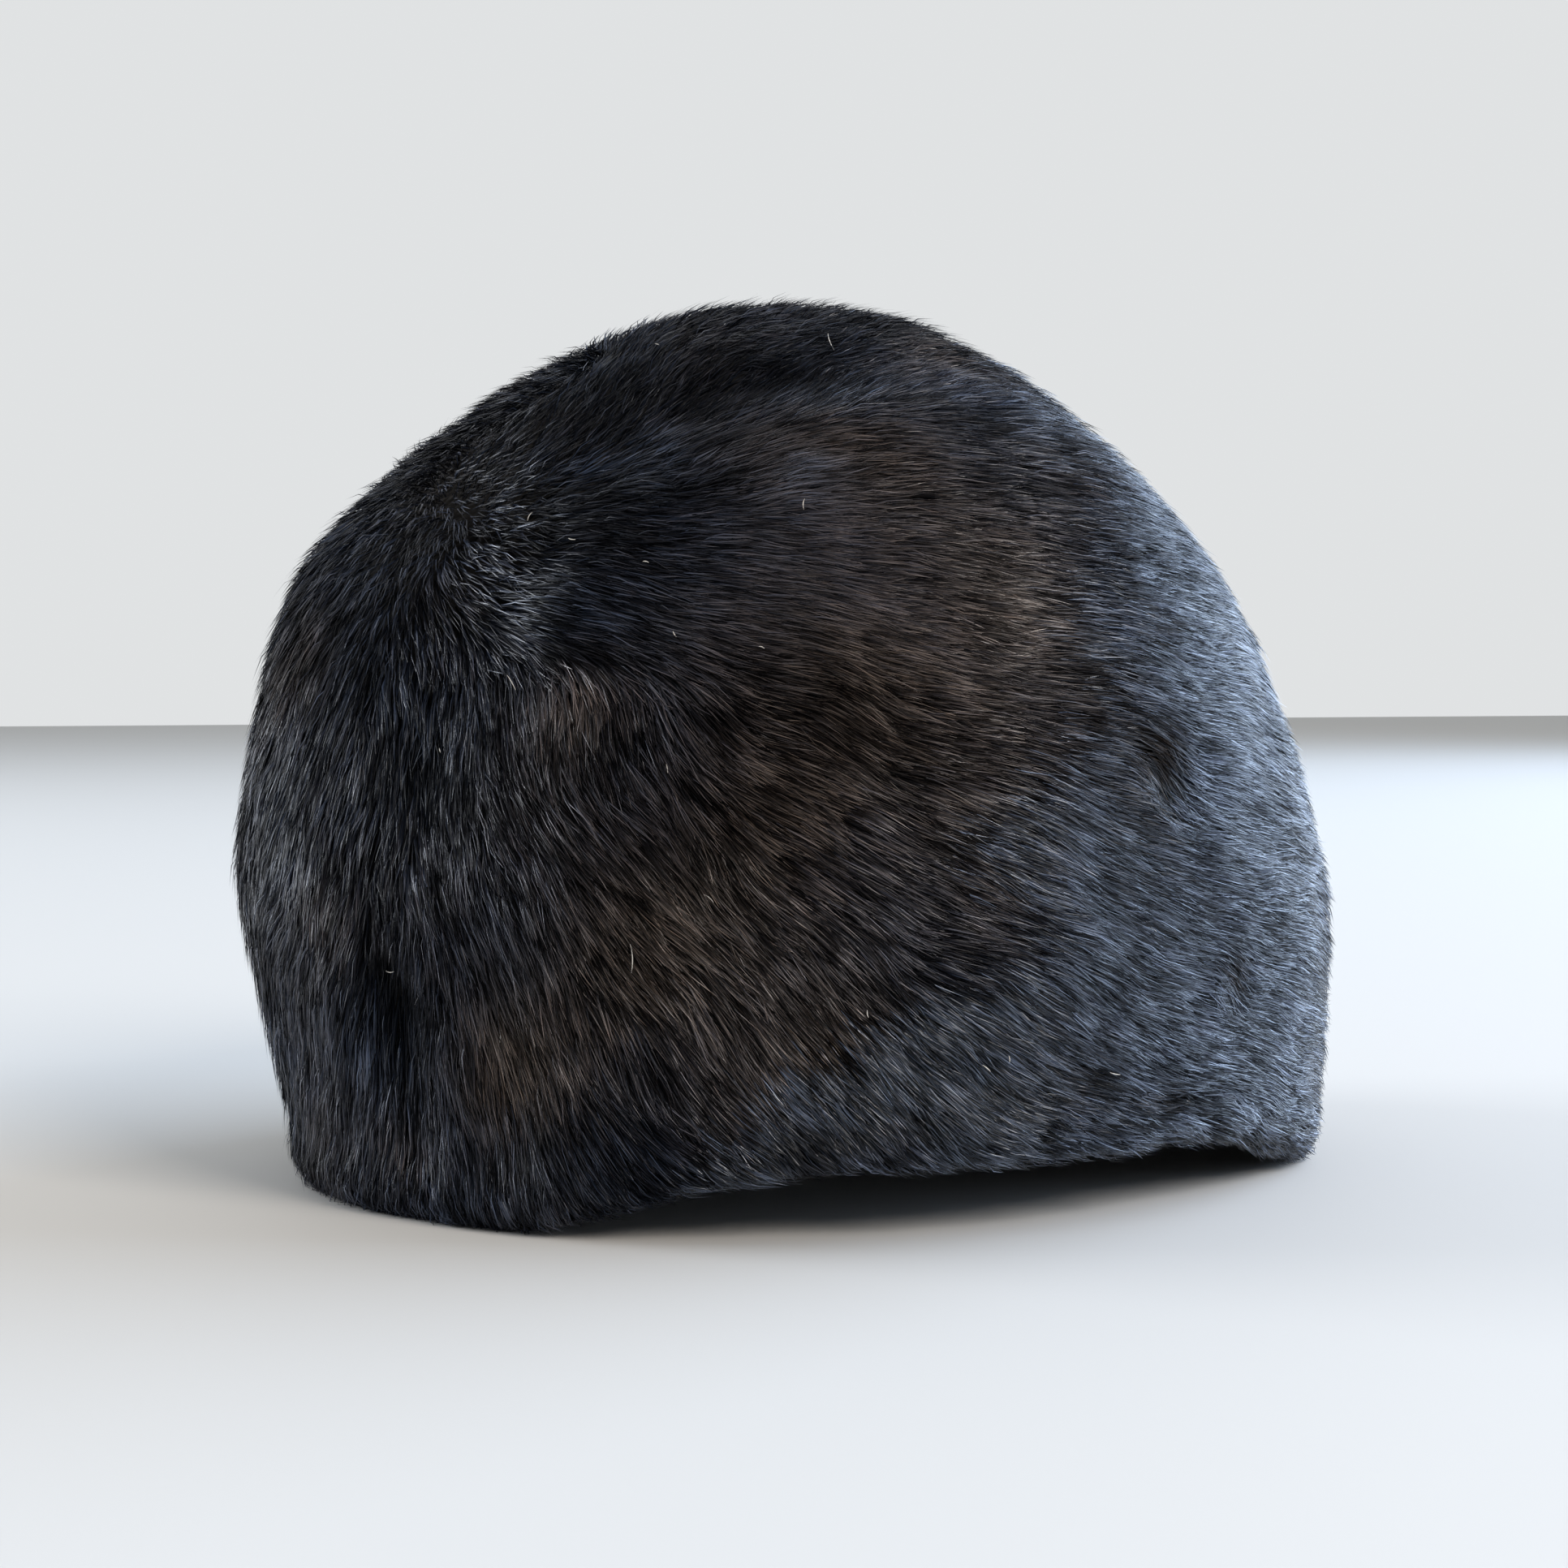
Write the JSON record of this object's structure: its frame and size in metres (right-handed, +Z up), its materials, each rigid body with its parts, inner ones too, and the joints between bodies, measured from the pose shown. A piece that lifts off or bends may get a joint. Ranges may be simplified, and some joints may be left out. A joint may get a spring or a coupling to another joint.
{
  "type": "faux fur hat",
  "caption": "Tall brimless dome hat of short dark faux fur, sewn from a centre strip and side panels over a rolled fur hem, hollow for the head.",
  "frame": {"origin": "on the table, below the middle of the hat's outer box, where the rolled hem stands", "axes": "+Z up, -Y towards the front of the hat, +X towards the wearer's left, length along Y"},
  "size_m": [0.2044, 0.2333, 0.177],
  "materials": {
    "fur": "dark brown-black faux fur, pile combed flat, soft sheen",
    "hem_fur": "the same fur turned under at the edge"
  },
  "bodies": {
    "root": {"centre_panel": "fur", "left_side_panel": "fur", "right_side_panel": "fur", "hem_roll": "hem_fur"}
  },
  "joints": []
}
